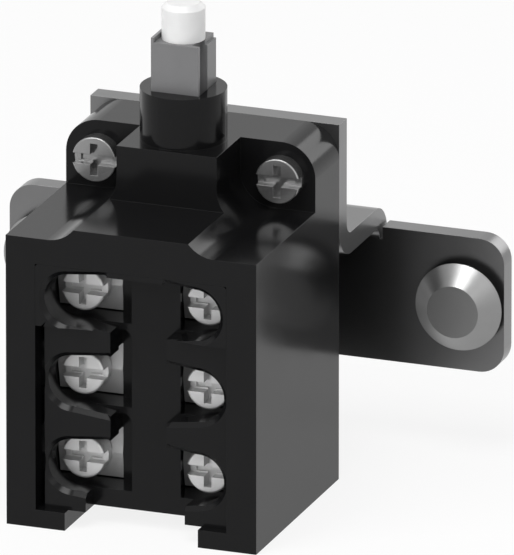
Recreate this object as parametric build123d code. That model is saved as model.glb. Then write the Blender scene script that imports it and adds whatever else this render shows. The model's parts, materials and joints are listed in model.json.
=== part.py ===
from build123d import *
import os

# Door position switch. All sizes are in millimetres. While it is modelled, X runs right from the
# case's left side, Y runs back from its front face and Z runs up from the underside of its feet.
# Each solid is then moved so that the origin lies midway between the two hook studs, on the front
# face of the bracket's bar.

# Case
CASE_WIDTH = 30.0
CASE_DEPTH = 27.0
FOOT_HEIGHT = 2.1
FOOT_WIDTH = 7.0
SHOULDER_WALL = 3.05
PLATEAU_STEP = 1.49
TOWER_HEIGHT = 6.46
TOWER_MARGIN = 0.55
EAR_THICKNESS = 7.8
EAR_CORNER_R = 4.0
CHANNEL_R = 4.0
CHANNEL_INSET = 5.0
SIDE_WALL = 2.5
FLOOR = 1.5
CEILING = 2.0
TOWER_ROOF = 3.2

# Plunger and its collar
COLLAR_DIA = 9.9
COLLAR_HEIGHT = 6.04
CARRIER_SIDE = 5.7
CARRIER_STAND = 5.76
FLANGE_THICKNESS = 0.45
FLUTE_LENGTH = 2.45
FLUTE_DEPTH = 0.9
STEP_WIDTH = 0.3
STEP_DROP = 0.55
LUG_THICKNESS = 0.35
LUG_HEIGHT = 0.56
PIN_DIA = 4.95
PIN_STAND = 4.3
PIN_CHAMFER = 0.6
SPIGOT_DIA = 2.6
SPIGOT_LENGTH = 4.0
STEM_SIDE = 7.0
GUIDE_RIB_DEPTH = 1.69
TRAVEL = 5.0

# Fits
RUNNING_FIT = 0.06
SEAT_FIT = 0.02
STOP_GAP = 0.1
BODY_GAP = 0.35

# Terminals
TERMINAL_INSET = 7.5
TERMINAL_PITCH = 10.0
LOWEST_TERMINAL = 7.45
TERMINAL_ROWS = 3

# Front insert
INSERT_LEFT = 3.52
INSERT_RIGHT_MARGIN = 3.6
INSERT_HEAD = 3.95
INSERT_DEPTH = 9.55
FRONT_WALL = 3.9
RECESS_DEPTH = 1.15
RECESS_DROP = 3.35
INSERT_CORNER = 0.25
GROOVE_WIDTH = 0.68
GROOVE_DEPTH = 6.0
GROOVE_STEP = 0.6
LEFT_REACH = 4.6
RIGHT_REACH = 3.7
WIRE_CHANNEL_LINTEL = 0.6
LOW_WALL_LEFT_REACH = 1.6
LOW_WALL_RIGHT_REACH = 1.5
POCKET_R = 3.05
POCKET_MOUTH = 3.55
POCKET_CHAMFER = 0.5
LIP_REACH = 3.0
LIP_THICKNESS = 0.55
ARCH_REACH = 6.15
ARCH_RISE = 6.0
ARCH_DEPTH = 3.0
CAVITY_GAP = 0.12

# Terminal screws, clamp plates and fixed contacts
SCREW_HEAD_DIA = 5.2
SCREW_HEAD_HEIGHT = 2.45
SCREW_HEAD_EDGE = 0.3
THREAD_DIA = 3.0
SCREW_LENGTH = 6.55
SLOT_WIDTH = 1.2
SLOT_SHARE = 0.55
CROSS_WIDTH = 0.9
CROSS_SHARE = 0.71
CROSS_STEP = 0.3
CLAMP_HALF_WIDTH = 3.88
CLAMP_HALF_HEIGHT = 3.1
CLAMP_THICKNESS = 0.8
CLAMP_BOW = 0.6
CLAMP_GAP = 0.03
CLAMP_HOLE_DIA = 3.3
PLATE_THICKNESS = 1.1
PLATE_HALF_WIDTH = 3.4
STRIP_WIDTH = 3.6
STRIP_THICKNESS = 0.9
STRIP_END_MARGIN = 1.9
RIVET_DIA = 2.6
RIVET_HEIGHT = 0.6
PARTITION = 2.2
TIP_HOLE_DIA = 3.6

# Moving contacts
BRIDGE_WIDTH = 3.2
BRIDGE_THICKNESS = 0.8
BRIDGE_END_MARGIN = 1.4
CONTACT_GAP = 0.1
WINDOW_CLEARANCE = 0.1
UPPER_SPRING_LENGTH = 4.2
STEM_FOOT = 1.35

# Springs
CONTACT_SPRING_DIA = 2.8
CONTACT_WIRE = 0.3
CONTACT_SPRING_TURNS = 6
RETURN_SPRING_TOP_DIA = 4.4
RETURN_SPRING_BASE_DIA = 6.8
RETURN_WIRE = 0.5
RETURN_SPRING_TURNS = 3
SPRING_SEAT = 0.05

# Rear cover
COVER_THICKNESS = 2.0
RIB_THICKNESS = 1.2
RIB_SPACING = 5.0

# Fixing screws
FIXING_INSET = 4.0
FIXING_DROP = 4.2
FIXING_HEAD_DIA = 5.3
FIXING_HEAD_HEIGHT = 1.7
FIXING_HEAD_EDGE = 0.15
FIXING_HOLE_DIA = 3.2
FIXING_TIP_MARGIN = 0.2

# Bracket
SHEET = 2.5
BEND_R = 1.5
BEND_RELIEF = 0.3
UPRIGHT_HEIGHT = 14.0
SHELF_LENGTH = 16.0
BAR_LENGTH = 60.0
BAR_HEIGHT = 16.0
BAR_CORNER_R = 3.0

# Hook studs
STUD_INSET = 5.0
STUD_FACE_DIA = 6.15
STUD_CONE_DIA = 10.4
STUD_CONE_LENGTH = 2.0
STUD_NECK_DIA = 8.0
PANEL_GAP = 1.4
STUD_SHANK_DIA = 6.0

# Places worked out from the sizes above
CENTRE_X = CASE_WIDTH / 2
LEFT_X = TERMINAL_INSET
RIGHT_X = CASE_WIDTH - TERMINAL_INSET
SIDES = {"left": LEFT_X, "right": RIGHT_X}
ROWS = [LOWEST_TERMINAL + TERMINAL_PITCH * row for row in range(TERMINAL_ROWS)]
INSERT_RIGHT = CASE_WIDTH - INSERT_RIGHT_MARGIN
INSERT_TOP = ROWS[-1] + INSERT_HEAD
RECESS_TOP = ROWS[-1] - RECESS_DROP
WIRE_CHANNEL_LEFT = LEFT_X + LEFT_REACH
WIRE_CHANNEL_RIGHT = RIGHT_X - RIGHT_REACH
WIRE_CHANNEL_TOP = INSERT_TOP - WIRE_CHANNEL_LINTEL
SHOULDER_TOP = INSERT_TOP + SHOULDER_WALL
PLATEAU_TOP = SHOULDER_TOP + PLATEAU_STEP
EAR_TOP = PLATEAU_TOP + TOWER_HEIGHT
EAR_FRONT = CASE_DEPTH - EAR_THICKNESS
STEM_HALF = STEM_SIDE / 2
CHAMBER_FRONT = INSERT_DEPTH + PARTITION
PLUNGER_Y = CHAMBER_FRONT + GUIDE_RIB_DEPTH + STEM_HALF + RUNNING_FIT
TOWER_FRONT = PLUNGER_Y - COLLAR_DIA / 2 - TOWER_MARGIN
FIXING_HEIGHT = EAR_TOP - FIXING_DROP
COLLAR_TOP = EAR_TOP + COLLAR_HEIGHT
CARRIER_TOP = COLLAR_TOP + CARRIER_STAND
STEM_TOP = EAR_TOP - TOWER_ROOF - STOP_GAP
CARRIER_HALF = CARRIER_SIDE / 2
FLOOR_TOP = FOOT_HEIGHT + FLOOR
CEILING_UNDER = PLATEAU_TOP - CEILING
CHAMBER_BACK = CASE_DEPTH - COVER_THICKNESS
PLATE_FRONT = INSERT_DEPTH - PLATE_THICKNESS
CLAMP_FRONT = PLATE_FRONT - CLAMP_GAP - CLAMP_THICKNESS - CLAMP_BOW
SCREW_FRONT = CLAMP_FRONT - SEAT_FIT - SCREW_HEAD_HEIGHT
STRIP_END = PLUNGER_Y + STRIP_END_MARGIN
SHELF_TOP = EAR_TOP - UPRIGHT_HEIGHT
BAR_TOP = SHELF_TOP - SHEET
BAR_BOTTOM = BAR_TOP - BAR_HEIGHT
BAR_BACK = CASE_DEPTH + SHELF_LENGTH
BAR_FRONT = BAR_BACK - SHEET
STUD_HEIGHT = BAR_BOTTOM + BAR_HEIGHT / 2
STUDS = {
    "left": CENTRE_X - BAR_LENGTH / 2 + STUD_INSET,
    "right": CENTRE_X + BAR_LENGTH / 2 - STUD_INSET,
}
ORIGIN = Location((CENTRE_X, BAR_FRONT, STUD_HEIGHT))
OVER = 1.0


def block(x0, x1, y0, y1, z0, z1):
    """A box between two corners."""
    return Pos((x0 + x1) / 2, (y0 + y1) / 2, (z0 + z1) / 2) * Box(x1 - x0, y1 - y0, z1 - z0)


def along_y(sketch, front, back):
    """A sketch in X and Z, made solid from front to back."""
    return extrude(Plane.XZ.offset(-front) * sketch, amount=front - back)


def rod_y(x, z, radius, front, back):
    """A round bar along Y."""
    return along_y(Pos(x, z) * Circle(radius), front, back)


def rod_z(x, y, radius, low, high):
    """A round bar along Z."""
    return extrude(Plane.XY.offset(low) * Pos(x, y) * Circle(radius), amount=high - low)


def turned(points, x, z):
    """A solid of revolution about an axis along Y, from points of radius and Y."""
    face = make_face(Polyline(*[(radius, y) for radius, y in points], close=True))
    return Pos(x, 0, z) * revolve(face, axis=Axis.Y)


def spring(radius_low, radius_high, wire, turns, low, high):
    """A coil about the plunger's axis, between two heights."""
    rise = high - low - wire
    path_radius_low = radius_low - wire / 2
    path_radius_high = radius_high - wire / 2
    steps = 12 * turns
    points = []
    for step in range(steps + 1):
        share = step / steps
        radius = path_radius_low + (path_radius_high - path_radius_low) * share
        points.append(Vector(radius, 0, low + wire / 2 + rise * share).rotate(Axis.Z, 360 * turns * share))
    path = Spline(*points)
    coil = sweep(Plane(path @ 0, z_dir=path % 0) * Circle(wire / 2), path=path)
    return Pos(CENTRE_X, PLUNGER_Y, 0) * coil


def contact_level(row):
    """Underside of the strip that a row's contact uses. The lowest row closes when pushed."""
    if row == 0:
        return ROWS[0] - CLAMP_HALF_HEIGHT
    return ROWS[row] + CLAMP_HALF_HEIGHT - STRIP_THICKNESS


def bridge_level(row):
    """Underside of a row's bridge with the plunger at rest."""
    if row == 0:
        strip_top = contact_level(0) + STRIP_THICKNESS
        return strip_top + RIVET_HEIGHT + TRAVEL + BODY_GAP + RIVET_HEIGHT
    return contact_level(row) - RIVET_HEIGHT - CONTACT_GAP - RIVET_HEIGHT - BRIDGE_THICKNESS


PAIR_WINDOW = (bridge_level(0) - WINDOW_CLEARANCE, bridge_level(1) + BRIDGE_THICKNESS + WINDOW_CLEARANCE)
TOP_WINDOW = (
    bridge_level(2) - UPPER_SPRING_LENGTH,
    bridge_level(2) + BRIDGE_THICKNESS + WINDOW_CLEARANCE,
)
STEM_BOTTOM = PAIR_WINDOW[0] - STEM_FOOT


# Housing

def screw_channel():
    """The hollow along a shoulder, in front of an ear, on the left side."""
    height = SHOULDER_TOP + CHANNEL_R
    hollow = rod_y(CHANNEL_INSET, height, CHANNEL_R, -OVER, EAR_FRONT)
    hollow += block(-OVER, CHANNEL_INSET, -OVER, EAR_FRONT, SHOULDER_TOP, EAR_TOP + OVER)
    hollow += block(-OVER, CHANNEL_INSET + CHANNEL_R, -OVER, EAR_FRONT, height, EAR_TOP + OVER)
    return hollow


def to_right(solid):
    """The same solid on the other side of the case's middle."""
    return mirror(solid, about=Plane.YZ.offset(CENTRE_X))


def case_outside():
    """The moulding's outer form: base, feet, tower, ears and collar."""
    shape = block(0, CASE_WIDTH, 0, CASE_DEPTH, FOOT_HEIGHT, PLATEAU_TOP)
    shape += block(0, FOOT_WIDTH, 0, CASE_DEPTH, 0, FOOT_HEIGHT)
    shape += block(CASE_WIDTH - FOOT_WIDTH, CASE_WIDTH, 0, CASE_DEPTH, 0, FOOT_HEIGHT)
    shape += block(CHANNEL_INSET, CASE_WIDTH - CHANNEL_INSET, TOWER_FRONT, CASE_DEPTH, PLATEAU_TOP,
                   EAR_TOP)
    ears = block(0, CASE_WIDTH, EAR_FRONT, CASE_DEPTH, SHOULDER_TOP, EAR_TOP)
    ear_corners = ears.edges().filter_by(Axis.Y).group_by(Axis.Z)[-1]
    shape += fillet(ear_corners, EAR_CORNER_R)
    channel = screw_channel()
    shape -= channel + to_right(channel)
    return shape + rod_z(CENTRE_X, PLUNGER_Y, COLLAR_DIA / 2, EAR_TOP, COLLAR_TOP)


def make_housing():
    """Case with its contact chamber, stem guide, collar bore and the seat for the front insert."""
    shape = case_outside()
    shape -= block(INSERT_LEFT - SEAT_FIT, INSERT_RIGHT + SEAT_FIT, -OVER, INSERT_DEPTH,
                   FOOT_HEIGHT, INSERT_TOP + SEAT_FIT)
    shape -= block(SIDE_WALL, CASE_WIDTH - SIDE_WALL, CHAMBER_FRONT, CASE_DEPTH + OVER,
                   FLOOR_TOP, CEILING_UNDER)
    guide = STEM_HALF + RUNNING_FIT
    shape -= block(CENTRE_X - guide, CENTRE_X + guide, PLUNGER_Y - guide, PLUNGER_Y + guide,
                   CEILING_UNDER - OVER, EAR_TOP - TOWER_ROOF)
    bore = CARRIER_HALF + RUNNING_FIT
    shape -= block(CENTRE_X - bore, CENTRE_X + bore, PLUNGER_Y - bore, PLUNGER_Y + bore,
                   STEM_TOP, COLLAR_TOP + OVER)
    shape += guide_ribs(CHAMBER_FRONT, PLUNGER_Y - guide, FLOOR_TOP, CEILING_UNDER)
    for x in SIDES.values():
        for row, z in enumerate(ROWS):
            shape -= rod_y(x, z, TIP_HOLE_DIA / 2, INSERT_DEPTH - OVER, CHAMBER_FRONT + OVER)
            shape -= strip_block(x, row, INSERT_DEPTH - OVER, CHAMBER_FRONT + OVER, SEAT_FIT)
    for x in (FIXING_INSET, CASE_WIDTH - FIXING_INSET):
        shape -= rod_y(x, FIXING_HEIGHT, FIXING_HOLE_DIA / 2, EAR_FRONT - OVER, CASE_DEPTH + OVER)
    return shape


def guide_ribs(front, back, low, high):
    """Two upright ribs that keep the stem from tipping."""
    ribs = []
    for x in (CENTRE_X - RIB_SPACING / 2, CENTRE_X + RIB_SPACING / 2):
        ribs.append(block(x - RIB_THICKNESS / 2, x + RIB_THICKNESS / 2, front, back, low, high))
    return ribs[0] + ribs[1]


def make_rear_cover():
    """Plate in the case's rear opening, with two ribs behind the stem."""
    plate = block(SIDE_WALL + SEAT_FIT, CASE_WIDTH - SIDE_WALL - SEAT_FIT, CHAMBER_BACK, CASE_DEPTH,
                  FLOOR_TOP + SEAT_FIT, CEILING_UNDER - SEAT_FIT)
    stem_back = PLUNGER_Y + STEM_HALF + RUNNING_FIT
    return plate + guide_ribs(stem_back, CHAMBER_BACK, FLOOR_TOP + SEAT_FIT, CEILING_UNDER - SEAT_FIT)


# Front insert

def pocket_sketch(x, z, grow=0.0):
    """A terminal opening: a circle that widens into the wire channel."""
    edge = WIRE_CHANNEL_LEFT if x < CENTRE_X else WIRE_CHANNEL_RIGHT
    radius = POCKET_R + grow
    mouth = POCKET_MOUTH + grow
    funnel = make_face(Polyline(
        (x, z - radius), (edge, z - mouth), (edge, z + mouth), (x, z + radius), close=True,
    ))
    return Pos(x, z) * Circle(radius) + funnel


def make_terminal_insert():
    """Front wall with its pockets and wire channel, a middle web and ribs between the terminals."""
    shape = block(INSERT_LEFT, INSERT_RIGHT, 0, INSERT_DEPTH, FOOT_HEIGHT, INSERT_TOP)
    shape = chamfer(shape.edges().filter_by(Axis.Y).group_by(Axis.Z)[-1], INSERT_CORNER)
    shape -= block(INSERT_LEFT - OVER, INSERT_RIGHT + OVER, -OVER, RECESS_DEPTH,
                   FOOT_HEIGHT - OVER, RECESS_TOP)
    shape -= block(WIRE_CHANNEL_LEFT, WIRE_CHANNEL_RIGHT, -OVER, FRONT_WALL,
                   FOOT_HEIGHT - OVER, WIRE_CHANNEL_TOP)
    shape -= block(LEFT_X + LOW_WALL_LEFT_REACH, RIGHT_X - LOW_WALL_RIGHT_REACH, -OVER, FRONT_WALL,
                   FOOT_HEIGHT - OVER, ROWS[0] - POCKET_R)
    shape -= groove()
    half_height = CLAMP_HALF_HEIGHT + CAVITY_GAP
    half_width = CLAMP_HALF_WIDTH + CAVITY_GAP
    for z in ROWS:
        low = z - half_height
        high = z + half_height
        for x in SIDES.values():
            front = 0 if z == ROWS[-1] else RECESS_DEPTH
            shape -= along_y(pocket_sketch(x, z), -OVER, FRONT_WALL)
            shape -= extrude(Plane.XZ.offset(-front) * pocket_sketch(x, z, POCKET_CHAMFER),
                             amount=-POCKET_CHAMFER, taper=45)
        shape -= block(INSERT_LEFT - OVER, LEFT_X + half_width, FRONT_WALL, INSERT_DEPTH, low, high)
        shape -= block(RIGHT_X - half_width, INSERT_RIGHT + OVER, FRONT_WALL + LIP_THICKNESS,
                       INSERT_DEPTH, low, high)
        shape -= block(RIGHT_X - LIP_REACH, INSERT_RIGHT + OVER, FRONT_WALL, INSERT_DEPTH, low, high)
        shape -= arch(z, low)
    return shape


def groove():
    """The deep slot down the left side of the insert, with a small slanted top."""
    inner = INSERT_LEFT + GROOVE_WIDTH
    outline = make_face(Polyline(
        (INSERT_LEFT - OVER, FOOT_HEIGHT - OVER),
        (inner, FOOT_HEIGHT - OVER),
        (inner, RECESS_TOP - GROOVE_STEP),
        (inner + GROOVE_STEP, RECESS_TOP + GROOVE_STEP),
        (inner, RECESS_TOP),
        (INSERT_LEFT - OVER, RECESS_TOP),
        close=True,
    ))
    return along_y(outline, -OVER, GROOVE_DEPTH)


def arch(z, low):
    """The round-topped hollow beside a left clamp plate."""
    edge = LEFT_X + ARCH_REACH
    top = min(z + ARCH_RISE, WIRE_CHANNEL_TOP)
    start = LEFT_X + CLAMP_HALF_WIDTH
    centre = (start + edge) / 2
    radius = (edge - start) / 2
    outline = Pos(centre, (low + top - radius) / 2) * Rectangle(edge - start, top - radius - low)
    outline += Pos(centre, top - radius) * Circle(radius)
    return along_y(outline, FRONT_WALL, FRONT_WALL + ARCH_DEPTH)


# Terminals

def drive_recess(x, z, front, head_dia, head_height):
    """A full-width slot and a deeper cross, cut into a screw's head."""
    slot_floor = front + head_height * SLOT_SHARE
    cross_floor = slot_floor + CROSS_STEP
    reach = head_dia * CROSS_SHARE / 2
    half = CROSS_WIDTH / 2
    cut = block(x - head_dia, x + head_dia, front - OVER, slot_floor, z - SLOT_WIDTH / 2, z + SLOT_WIDTH / 2)
    cut += block(x - half, x + half, front - OVER, cross_floor, z - reach, z + reach)
    cut += block(x - reach, x + reach, front - OVER, cross_floor, z - half, z + half)
    return cut


def screw(x, z, front, head_dia, head_height, edge, tip):
    """A pan-head screw along Y, with its head to the front."""
    head = rod_y(x, z, head_dia / 2, front, front + head_height)
    head = fillet(head.edges().group_by(Axis.Y)[0], edge)
    shank = rod_y(x, z, THREAD_DIA / 2, front + head_height, tip)
    return head + shank - drive_recess(x, z, front, head_dia, head_height)


def make_clamp_plate(x, z):
    """A square plate with a shallow bend across its middle."""
    middle = CLAMP_FRONT
    edge = middle + CLAMP_BOW
    outline = make_face(Polyline(
        (edge, z - CLAMP_HALF_HEIGHT),
        (middle, z),
        (edge, z + CLAMP_HALF_HEIGHT),
        (edge + CLAMP_THICKNESS, z + CLAMP_HALF_HEIGHT),
        (middle + CLAMP_THICKNESS, z),
        (edge + CLAMP_THICKNESS, z - CLAMP_HALF_HEIGHT),
        close=True,
    ))
    plate = extrude(Plane.YZ * outline, amount=CLAMP_HALF_WIDTH, both=True)
    return Pos(x, 0, 0) * plate - rod_y(x, z, CLAMP_HOLE_DIA / 2, SCREW_FRONT, INSERT_DEPTH)


def strip_block(x, row, front, back, grow=0.0):
    """The strip of a fixed contact between two depths."""
    low = contact_level(row)
    half = STRIP_WIDTH / 2 + grow
    return block(x - half, x + half, front, back, low - grow, low + STRIP_THICKNESS + grow)


def make_fixed_contact(x, row):
    """Tapped terminal plate, a strip into the chamber and a contact rivet at its end."""
    z = ROWS[row]
    plate = block(x - PLATE_HALF_WIDTH, x + PLATE_HALF_WIDTH, PLATE_FRONT, INSERT_DEPTH,
                  z - CLAMP_HALF_HEIGHT, z + CLAMP_HALF_HEIGHT)
    plate -= rod_y(x, z, THREAD_DIA / 2 + SEAT_FIT, PLATE_FRONT - OVER, INSERT_DEPTH + OVER)
    strip = strip_block(x, row, PLATE_FRONT, STRIP_END)
    low = contact_level(row)
    start = low + STRIP_THICKNESS if row == 0 else low - RIVET_HEIGHT
    rivet = rod_z(x, PLUNGER_Y, RIVET_DIA / 2, start, start + RIVET_HEIGHT)
    return plate + strip + rivet


# Plunger

def make_plunger_carrier():
    """Square head that slides in the collar, with a wider stem and windows for the bridges."""
    left = CENTRE_X - CARRIER_HALF
    right = CENTRE_X + CARRIER_HALF
    front = PLUNGER_Y - CARRIER_HALF
    back = PLUNGER_Y + CARRIER_HALF
    flute_front = front + FLANGE_THICKNESS
    flute_back = flute_front + FLUTE_LENGTH
    neck = block(left, right, front, back, STEM_TOP, CARRIER_TOP)
    neck -= block(right - FLUTE_DEPTH, right + OVER, flute_front, flute_back, STEM_TOP, CARRIER_TOP + OVER)
    neck -= block(right - STEP_WIDTH, right + OVER, flute_back - OVER, back + OVER,
                  CARRIER_TOP - STEP_DROP, CARRIER_TOP + OVER)
    lug = block(left, left + LUG_THICKNESS, front, back, CARRIER_TOP, CARRIER_TOP + LUG_HEIGHT)
    lug -= rod_z(CENTRE_X, PLUNGER_Y, PIN_DIA / 2 + SEAT_FIT, CARRIER_TOP, CARRIER_TOP + LUG_HEIGHT)
    stem = block(CENTRE_X - STEM_HALF, CENTRE_X + STEM_HALF, PLUNGER_Y - STEM_HALF,
                 PLUNGER_Y + STEM_HALF, STEM_BOTTOM, STEM_TOP)
    half_window = BRIDGE_WIDTH / 2 + WINDOW_CLEARANCE
    for low, high in (PAIR_WINDOW, TOP_WINDOW):
        stem -= block(CENTRE_X - STEM_SIDE, CENTRE_X + STEM_SIDE, PLUNGER_Y - half_window,
                      PLUNGER_Y + half_window, low, high)
    socket = rod_z(CENTRE_X, PLUNGER_Y, SPIGOT_DIA / 2 + SEAT_FIT, CARRIER_TOP - SPIGOT_LENGTH,
                   CARRIER_TOP + OVER)
    return neck + lug + stem - socket


def make_plunger_pin():
    """White push pin with a spigot in the carrier."""
    pin = rod_z(CENTRE_X, PLUNGER_Y, PIN_DIA / 2, CARRIER_TOP, CARRIER_TOP + PIN_STAND)
    pin = chamfer(pin.edges().group_by(Axis.Z)[-1], PIN_CHAMFER)
    spigot = rod_z(CENTRE_X, PLUNGER_Y, SPIGOT_DIA / 2, CARRIER_TOP - SPIGOT_LENGTH + SEAT_FIT,
                   CARRIER_TOP)
    return pin + spigot


def make_bridge(row):
    """Bar that joins a row's two fixed contacts, with a rivet at each end."""
    low = bridge_level(row)
    bar = block(LEFT_X - BRIDGE_END_MARGIN, RIGHT_X + BRIDGE_END_MARGIN, PLUNGER_Y - BRIDGE_WIDTH / 2,
                PLUNGER_Y + BRIDGE_WIDTH / 2, low, low + BRIDGE_THICKNESS)
    start = low - RIVET_HEIGHT if row == 0 else low + BRIDGE_THICKNESS
    for x in SIDES.values():
        bar += rod_z(x, PLUNGER_Y, RIVET_DIA / 2, start, start + RIVET_HEIGHT)
    return bar


# Bracket

def quarter_bend(y, z, low_side):
    """A quarter of a bend in the sheet, about an axis along X."""
    ring = Circle(BEND_R + SHEET) - Circle(BEND_R)
    reach = BEND_R + SHEET
    shift = -reach / 2 if low_side else reach / 2
    ring &= Pos(shift, shift) * Rectangle(reach, reach)
    return Pos(0, y, z) * extrude(Plane.YZ * ring, amount=CASE_WIDTH)


def make_bracket():
    """Sheet bent twice: an upright behind the case, a shelf, and a wide bar with relief cuts."""
    shelf_under = SHELF_TOP - SHEET
    upper_y = CASE_DEPTH + SHEET + BEND_R
    upper_z = SHELF_TOP + BEND_R
    lower_y = BAR_FRONT - BEND_R
    lower_z = shelf_under - BEND_R
    shape = block(0, CASE_WIDTH, CASE_DEPTH, CASE_DEPTH + SHEET, upper_z, EAR_TOP)
    shape += quarter_bend(upper_y, upper_z, True)
    shape += block(0, CASE_WIDTH, upper_y, lower_y, shelf_under, SHELF_TOP)
    shape += quarter_bend(lower_y, lower_z, False)
    bar = along_y(Pos(CENTRE_X, (BAR_BOTTOM + BAR_TOP) / 2) * RectangleRounded(
        BAR_LENGTH, BAR_TOP - BAR_BOTTOM, BAR_CORNER_R), BAR_FRONT, BAR_BACK)
    bar -= block(-BEND_RELIEF, CASE_WIDTH + BEND_RELIEF, BAR_FRONT - OVER, BAR_BACK + OVER, lower_z,
                 BAR_TOP + OVER)
    shape += bar
    for x in STUDS.values():
        shape -= rod_y(x, STUD_HEIGHT, STUD_SHANK_DIA / 2, BAR_FRONT - OVER, BAR_BACK + OVER)
    for x in (FIXING_INSET, CASE_WIDTH - FIXING_INSET):
        shape -= rod_y(x, FIXING_HEIGHT, THREAD_DIA / 2 + SEAT_FIT, CASE_DEPTH - OVER,
                       CASE_DEPTH + SHEET + OVER)
    return shape


def make_hook_stud(x):
    """Stud with a flat face and a cone that catches behind a keyhole's edge."""
    cone_back = BAR_FRONT - PANEL_GAP
    cone_front = cone_back - STUD_CONE_LENGTH
    return turned([
        (0, cone_front),
        (STUD_FACE_DIA / 2, cone_front),
        (STUD_CONE_DIA / 2, cone_back),
        (STUD_NECK_DIA / 2, cone_back),
        (STUD_NECK_DIA / 2, BAR_FRONT),
        (STUD_SHANK_DIA / 2, BAR_FRONT),
        (STUD_SHANK_DIA / 2, BAR_BACK),
        (0, BAR_BACK),
    ], x, STUD_HEIGHT)


def save(name, solid):
    """Write one piece in the part's own frame."""
    export_step(ORIGIN.inverse() * solid, os.path.join("parts", name + ".step"))


os.makedirs("parts", exist_ok=True)

save("housing", make_housing())
save("rear_cover", make_rear_cover())
save("terminal_insert", make_terminal_insert())
save("bracket", make_bracket())
for side, stud_x in STUDS.items():
    save("hook_stud_" + side, make_hook_stud(stud_x))

fixing_front = EAR_FRONT - FIXING_HEAD_HEIGHT
fixing_tip = CASE_DEPTH + SHEET - FIXING_TIP_MARGIN
for side, fixing_x in (("left", FIXING_INSET), ("right", CASE_WIDTH - FIXING_INSET)):
    save("fixing_screw_" + side, screw(fixing_x, FIXING_HEIGHT, fixing_front, FIXING_HEAD_DIA,
                                       FIXING_HEAD_HEIGHT, FIXING_HEAD_EDGE, fixing_tip))

for side, terminal_x in SIDES.items():
    for row, terminal_z in enumerate(ROWS):
        label = f"{side}_{row + 1}"
        save("terminal_screw_" + label, screw(terminal_x, terminal_z, SCREW_FRONT, SCREW_HEAD_DIA,
                                              SCREW_HEAD_HEIGHT, SCREW_HEAD_EDGE,
                                              SCREW_FRONT + SCREW_LENGTH))
        save("clamp_plate_" + label, make_clamp_plate(terminal_x, terminal_z))
        save("fixed_contact_" + label, make_fixed_contact(terminal_x, row))

save("plunger_carrier", make_plunger_carrier())
save("plunger_pin", make_plunger_pin())
for row in range(TERMINAL_ROWS):
    save(f"contact_bridge_{row + 1}", make_bridge(row))

contact_radius = CONTACT_SPRING_DIA / 2
save("contact_spring_lower", spring(contact_radius, contact_radius, CONTACT_WIRE, CONTACT_SPRING_TURNS,
                                    bridge_level(0) + BRIDGE_THICKNESS + SPRING_SEAT,
                                    bridge_level(1) - SPRING_SEAT))
save("contact_spring_upper", spring(contact_radius, contact_radius, CONTACT_WIRE, CONTACT_SPRING_TURNS,
                                    TOP_WINDOW[0] + SPRING_SEAT, bridge_level(2) - SPRING_SEAT))
save("return_spring", spring(RETURN_SPRING_BASE_DIA / 2, RETURN_SPRING_TOP_DIA / 2, RETURN_WIRE,
                             RETURN_SPRING_TURNS, FLOOR_TOP + SPRING_SEAT, STEM_BOTTOM - SPRING_SEAT))
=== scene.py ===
import json
import math

import bpy
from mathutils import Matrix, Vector


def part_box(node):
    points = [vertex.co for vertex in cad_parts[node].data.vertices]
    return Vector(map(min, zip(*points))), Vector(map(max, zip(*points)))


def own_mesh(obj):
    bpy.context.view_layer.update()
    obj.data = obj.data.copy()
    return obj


# Door position switch on its bent bracket. Metres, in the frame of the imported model: the origin lies
# midway between the two hook studs, X runs right along the bar and Y runs back.

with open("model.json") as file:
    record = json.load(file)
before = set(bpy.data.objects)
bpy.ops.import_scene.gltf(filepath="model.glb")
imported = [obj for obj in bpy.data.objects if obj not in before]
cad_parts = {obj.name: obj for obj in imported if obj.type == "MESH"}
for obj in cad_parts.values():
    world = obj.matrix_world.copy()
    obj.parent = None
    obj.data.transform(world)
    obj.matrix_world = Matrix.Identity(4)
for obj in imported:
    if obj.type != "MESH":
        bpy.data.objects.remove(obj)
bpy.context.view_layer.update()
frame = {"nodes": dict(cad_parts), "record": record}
NODES = frame["nodes"]

MM = 0.001

# Camera: a long lens stands in for the photograph's parallel projection.
PHOTO_WIDTH = 514
PHOTO_HEIGHT = 555
AZIMUTH = 20.3
ELEVATION = 19.2
PIXELS_PER_MM = 8.863
SENSOR = 36.0
LENS = 1500.0
CLIP_START = 0.05
CLIP_END = 20.0
AIM = Vector((7.70, -20.5, 7.69)) * MM

# Stage: a floor level with the case's feet, and a world that shows lighter than it lights.
FLOOR_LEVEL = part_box("housing")[0].z
FLOOR_SIZE = 3.0
FLOOR_WHITE = 0.85
FLOOR_ROUGHNESS = 0.9
FLOOR_GLOW = 0.85
WORLD_FILL = 0.35
WORLD_BACKDROP = 1.0

# Lamps: azimuth and elevation in degrees, distance and width in metres, power in watts.
LAMPS = {
    "key": (-32, 36, 0.8, 0.4, 2.7),
    "fill": (35, 24, 0.8, 0.5, 0.9),
    "top": (5, 69, 0.7, 0.3, 2.3),
    "rim": (160, 20, 0.8, 0.4, 1.0),
}

# Softened edges and shallow relief. The insert's edges are sharper, to keep its seam thin.
EDGE_RADIUS = 0.06 * MM
SEAM_RADIUS = 0.02 * MM
EDGE_SAMPLES = 4
RELIEF_DEPTH = 0.02 * MM

# Noise patterns as scale and detail, the noise levels that a ramp spans, and how far a tone or a gloss
# strays with them.
MOULDED_PATCHES = (220.0, 4.0)
MOULDED_SHEEN = (160.0, 2.0)
MOULDED_GRAIN = (9000.0, 2.0)
METAL_PATCHES = (260.0, 4.0)
METAL_SPECKLE = (3000.0, 3.0)
RAMP_STOPS = (0.3, 0.7)
MOULDED_TONE_SPREAD = 0.06
MOULDED_GLOSS_SPREAD = 0.02
METAL_TONE_SPREAD = 0.035

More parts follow.
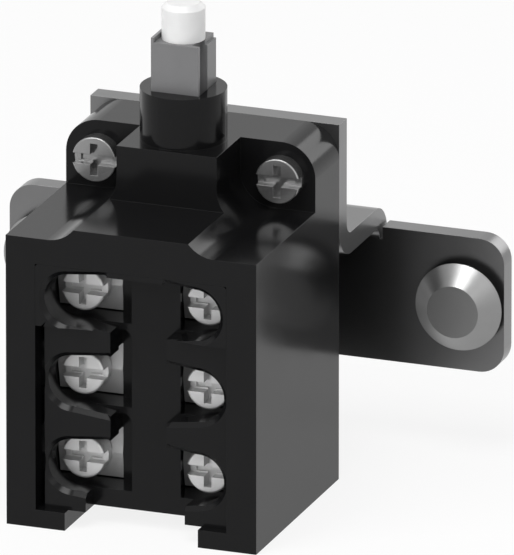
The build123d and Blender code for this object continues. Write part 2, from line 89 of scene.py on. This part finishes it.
# Plain black plastic: nearly no colour of its own, so its gloss sets how dark each face looks.
BLACK = (0.005, 0.005, 0.0053)
BLACK_IOR = 1.25
PLASTIC_IOR = 1.45
MOULDINGS = {
    "black_moulding": dict(colour=BLACK, roughness=0.16, ior=BLACK_IOR),
    "insert_moulding": dict(colour=BLACK, roughness=0.18, ior=BLACK_IOR, edge=SEAM_RADIUS),
    "grey_moulding": dict(colour=(0.155, 0.155, 0.158), roughness=0.32),
    "white_moulding": dict(colour=(0.72, 0.72, 0.72), roughness=0.35, grain=0.02),
}

# Plated or turned metal. A stretch below one draws the speckles out into lines along that axis.
METALS = {
    "zinc_steel": dict(colour=(0.18, 0.18, 0.181), roughness=0.29, stretch=(0.3, 1, 1), relief=0.006,
                       spread=0.008),
    "stud_steel": dict(colour=(0.27, 0.27, 0.27), roughness=0.34, relief=0.01, spread=0.01),
    "screw_steel": dict(colour=(0.58, 0.58, 0.58), roughness=0.4, metallic=0.6),
    "fixing_steel": dict(colour=(0.27, 0.27, 0.27), roughness=0.25, metallic=0.9, relief=0.01,
                         spread=0.01),
    "clamp_steel": dict(colour=(0.5, 0.5, 0.5), roughness=0.4, metallic=0.4, stretch=(1, 1, 0.3)),
    "contact_brass": dict(colour=(0.72, 0.52, 0.24), roughness=0.3, stretch=(1, 0.3, 1)),
    "spring_steel": dict(colour=(0.55, 0.55, 0.55), roughness=0.3),
}


def view_direction(azimuth, elevation):
    """Unit vector from the object towards a camera or a lamp at these angles, in degrees."""
    a = math.radians(azimuth)
    e = math.radians(elevation)
    return Vector((math.sin(a) * math.cos(e), -math.cos(a) * math.cos(e), math.sin(e)))


def place(item, position, back):
    """Put a camera or a lamp in the scene, facing away from the direction at its back."""
    bpy.context.scene.collection.objects.link(item)
    item.location = position
    item.rotation_mode = "QUATERNION"
    item.rotation_quaternion = (-back).to_track_quat("-Z", "Y")


def make_camera():
    """The photograph's view: the distance makes the lens show it at the photograph's scale."""
    data = bpy.data.cameras.new("camera")
    data.sensor_width = SENSOR
    data.lens = LENS
    data.clip_start = CLIP_START
    data.clip_end = CLIP_END
    camera = bpy.data.objects.new("camera", data)
    back = view_direction(AZIMUTH, ELEVATION)
    span = max(PHOTO_WIDTH, PHOTO_HEIGHT) / PIXELS_PER_MM * MM
    place(camera, AIM + back * (span * LENS / SENSOR), back)
    bpy.context.scene.camera = camera


def make_lamp(name, azimuth, elevation, distance, width, power):
    """A square soft lamp, aimed at the object."""
    data = bpy.data.lights.new(name, "AREA")
    data.shape = "SQUARE"
    data.size = width
    data.energy = power
    back = view_direction(azimuth, elevation)
    place(bpy.data.objects.new(name, data), back * distance, back)


class Nodes:
    """Short hand for building one material's node tree."""

    def __init__(self, name):
        self.material = bpy.data.materials.new(name)
        self.material.use_nodes = True
        self.tree = self.material.node_tree
        self.shader = self.tree.nodes["Principled BSDF"]

    def add(self, kind, **inputs):
        """A new node, with values set on its sockets by name."""
        node = self.tree.nodes.new(kind)
        for key, value in inputs.items():
            node.inputs[key].default_value = value
        return node

    def link(self, source, target):
        self.tree.links.new(source, target)

    def noise(self, pattern, stretch=(1, 1, 1)):
        """Noise in the object's own coordinates, so it moves with the piece."""
        scale, detail = pattern
        coords = self.add("ShaderNodeTexCoord")
        mapping = self.add("ShaderNodeMapping", Scale=stretch)
        noise = self.add("ShaderNodeTexNoise", Scale=scale, Detail=detail)
        self.link(coords.outputs["Object"], mapping.inputs["Vector"])
        self.link(mapping.outputs["Vector"], noise.inputs["Vector"])
        return noise.outputs["Fac"]

    def ramp(self, value, dark, light):
        """A noise value as a colour between two tones."""
        ramp = self.add("ShaderNodeValToRGB")
        for stop, position, tone in zip(ramp.color_ramp.elements, RAMP_STOPS, (dark, light)):
            stop.position = position
            stop.color = (*tone, 1)
        self.link(value, ramp.inputs["Fac"])
        return ramp.outputs["Color"]

    def tone(self, value, colour, spread):
        """The base colour, slightly uneven across the surface."""
        dark = [c * (1 - spread) for c in colour]
        light = [min(1.0, c * (1 + spread)) for c in colour]
        self.link(self.ramp(value, dark, light), self.shader.inputs["Base Color"])

    def gloss(self, value, roughness, spread):
        """The roughness, slightly uneven across the surface."""
        dark = [roughness - spread] * 3
        light = [roughness + spread] * 3
        self.link(self.ramp(value, dark, light), self.shader.inputs["Roughness"])

    def surface(self, height, strength, edge):
        """Fine relief over softened edges."""
        bevel = self.add("ShaderNodeBevel", Radius=edge)
        bevel.samples = EDGE_SAMPLES
        bump = self.add("ShaderNodeBump", Strength=strength, Distance=RELIEF_DEPTH)
        self.link(height, bump.inputs["Height"])
        self.link(bevel.outputs["Normal"], bump.inputs["Normal"])
        self.link(bump.outputs["Normal"], self.shader.inputs["Normal"])


def moulded(name, colour, roughness, ior=PLASTIC_IOR, grain=0.04, edge=EDGE_RADIUS):
    """Moulded plastic: a faint spark-eroded grain, uneven gloss and softened edges."""
    nodes = Nodes(name)
    nodes.tone(nodes.noise(MOULDED_PATCHES), colour, MOULDED_TONE_SPREAD)
    nodes.gloss(nodes.noise(MOULDED_SHEEN), roughness, MOULDED_GLOSS_SPREAD)
    nodes.shader.inputs["IOR"].default_value = ior
    nodes.surface(nodes.noise(MOULDED_GRAIN), grain, edge)
    return nodes.material


def metal(name, colour, roughness, metallic=1.0, stretch=(1, 1, 1), relief=0.03, spread=0.03):
    """Plated or turned metal: fine speckles or lines in its gloss and relief, and an uneven tone."""
    nodes = Nodes(name)
    nodes.tone(nodes.noise(METAL_PATCHES), colour, METAL_TONE_SPREAD)
    nodes.shader.inputs["Metallic"].default_value = metallic
    speckle = nodes.noise(METAL_SPECKLE, stretch)
    nodes.gloss(speckle, roughness, spread)
    nodes.surface(speckle, relief, EDGE_RADIUS)
    return nodes.material


def make_materials():
    """A material for each finish, by name."""
    materials = {name: moulded(name, **look) for name, look in MOULDINGS.items()}
    materials.update({name: metal(name, **look) for name, look in METALS.items()})
    return materials


def dress_nodes(materials):
    """Give each node the finish of its material slot. The fixing screws are the glossier ones."""
    slots = {row["node"]: row["material_slot"] for row in frame["record"]["subparts"]}
    for name, node in NODES.items():
        finish = "fixing_steel" if name.startswith("fixing_screw") else slots[name]
        node.data.materials.clear()
        node.data.materials.append(materials[finish])


def squash_spring():
    """Give the return spring a mesh of its own."""
    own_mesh(NODES["return_spring"])


def background_rays(tree):
    """One where the camera looks, or a glossy or clear surface does, and nought for plain lighting."""
    path = tree.nodes.new("ShaderNodeLightPath")
    seen = path.outputs["Is Camera Ray"]
    for kind in ("Is Glossy Ray", "Is Transmission Ray"):
        either = tree.nodes.new("ShaderNodeMath")
        either.operation = "MAXIMUM"
        tree.links.new(seen, either.inputs[0])
        tree.links.new(path.outputs[kind], either.inputs[1])
        seen = either.outputs["Value"]
    return seen


def stepped(tree, plain, seen):
    """One value for plain lighting, and another where the camera or a glossy surface looks."""
    level = tree.nodes.new("ShaderNodeMapRange")
    level.inputs["To Min"].default_value = plain
    level.inputs["To Max"].default_value = seen
    tree.links.new(background_rays(tree), level.inputs["Value"])
    return level.outputs["Result"]


def make_floor():
    """A pale floor that keeps part of the object's shadow."""
    half = FLOOR_SIZE / 2
    corners = [(x, y, FLOOR_LEVEL) for x, y in ((-half, -half), (half, -half), (half, half), (-half, half))]
    mesh = bpy.data.meshes.new("floor")
    mesh.from_pydata(corners, [], [(0, 1, 2, 3)])
    floor = bpy.data.objects.new("floor", mesh)
    bpy.context.scene.collection.objects.link(floor)
    nodes = Nodes("floor")
    nodes.shader.inputs["Base Color"].default_value = (FLOOR_WHITE, FLOOR_WHITE, FLOOR_WHITE, 1)
    nodes.shader.inputs["Roughness"].default_value = FLOOR_ROUGHNESS
    glow = nodes.add("ShaderNodeEmission", Strength=1.0)
    mix = nodes.add("ShaderNodeMixShader")
    nodes.link(stepped(nodes.tree, 0.0, FLOOR_GLOW), mix.inputs["Fac"])
    nodes.link(nodes.shader.outputs["BSDF"], mix.inputs[1])
    nodes.link(glow.outputs["Emission"], mix.inputs[2])
    nodes.link(mix.outputs["Shader"], nodes.tree.nodes["Material Output"].inputs["Surface"])
    floor.data.materials.append(nodes.material)


def make_world():
    """A plain pale world: dim as a lamp, white where the camera or a glossy surface sees it."""
    world = bpy.data.worlds.new("studio")
    bpy.context.scene.world = world
    world.use_nodes = True
    tree = world.node_tree
    background = tree.nodes["Background"]
    background.inputs["Color"].default_value = (1, 1, 1, 1)
    tree.links.new(stepped(tree, WORLD_FILL, WORLD_BACKDROP), background.inputs["Strength"])


make_camera()
dress_nodes(make_materials())
squash_spring()
make_floor()
make_world()
for name, values in LAMPS.items():
    make_lamp(name, *values)

bpy.context.scene.view_settings.view_transform = "Standard"
